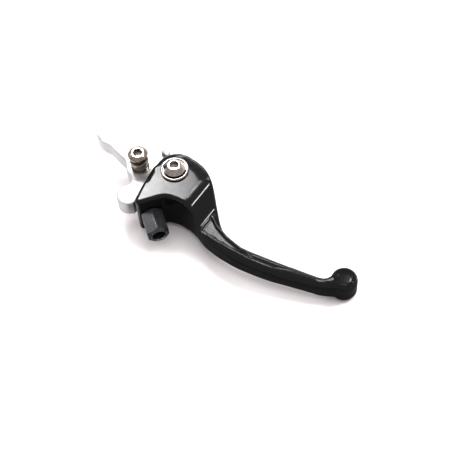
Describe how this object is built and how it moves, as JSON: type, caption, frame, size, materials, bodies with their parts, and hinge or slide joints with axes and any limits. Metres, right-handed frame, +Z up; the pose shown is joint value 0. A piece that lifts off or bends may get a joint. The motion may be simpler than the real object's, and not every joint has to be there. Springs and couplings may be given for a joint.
{
  "type": "clutch lever",
  "caption": "Folding hand lever for a motorcycle's hydraulic clutch: silver base knuckle, black blade with ball end, hexagonal reach adjuster and two socket-head pivot bolts.",
  "frame": {"origin": "on the axis of the perch pivot bolt, at mid thickness of the base knuckle", "axes": "+X along the blade towards the centre of the ball end, +Y forward, away from the handlebar, +Z up along the pivot bolt towards its head"},
  "size_m": [0.182, 0.0515, 0.0395],
  "materials": {
    "satin_aluminium": "bright silver anodised, satin",
    "black_gloss_paint": "smooth gloss black over forged aluminium",
    "blackened_steel": "blackened, semi-gloss, turned end",
    "bright_steel": "turned and polished",
    "nickel_steel": "warm nickel plate, fine turning marks",
    "bearing_bronze": "oiled sintered bronze",
    "black_rubber": "matt",
    "nylon": "matt nylon"
  },
  "bodies": {
    "perch_pivot": {"perch_bolt": "nickel_steel", "perch_dust_ring": "black_rubber", "perch_sleeve": "nickel_steel", "perch_washer": "bright_steel", "perch_lock_nut": "bright_steel", "perch_nut_insert": "nylon"},
    "base": {"base_knuckle": "satin_aluminium", "perch_bush": "bright_steel", "fold_bush": "bearing_bronze", "thrust_washer_upper": "bearing_bronze", "thrust_washer_lower": "bearing_bronze", "stop_pad": "bright_steel", "fold_spring": "bright_steel"},
    "blade": {"blade": "black_gloss_paint", "fold_bolt": "bright_steel", "fold_bolt_washer": "bright_steel", "fold_sleeve": "bright_steel", "fold_lock_nut": "bright_steel", "fold_nut_insert": "nylon"},
    "adjuster_barrel": {"adjuster_barrel": "blackened_steel", "adjuster_o_ring": "black_rubber", "adjuster_snap_ring": "bright_steel"},
    "adjuster_plunger": {"adjuster_plunger": "bright_steel"}
  },
  "joints": [
    {"name": "lever_pull", "type": "hinge", "parent": "perch_pivot", "child": "base", "pos_m": [0, 0, 0], "axis": [0, 0, -1], "range_deg": [0, 22]},
    {"name": "fold", "type": "hinge", "parent": "base", "child": "blade", "pos_m": [0.0234, 0.0036, 0], "axis": [0, 0, 1], "range_deg": [0, 86], "stiffness_Nm_per_rad": 0.4, "springref_deg": -57.3, "deforming": ["fold_spring"]},
    {"name": "adjuster_turn", "type": "hinge", "parent": "blade", "child": "adjuster_barrel", "pos_m": [0.0231, -0.0208, 0], "axis": [0.7934, -0.6088, 0], "range_deg": [-1080, 0]},
    {"name": "plunger_travel", "type": "slide", "parent": "blade", "child": "adjuster_plunger", "axis": [-0.7934, 0.6088, 0], "range_m": [-0.003, 0]}
  ],
  "couplings": [
    {"joint": "plunger_travel", "follows": "adjuster_turn", "m_per_rad": 0.00015915}
  ]
}
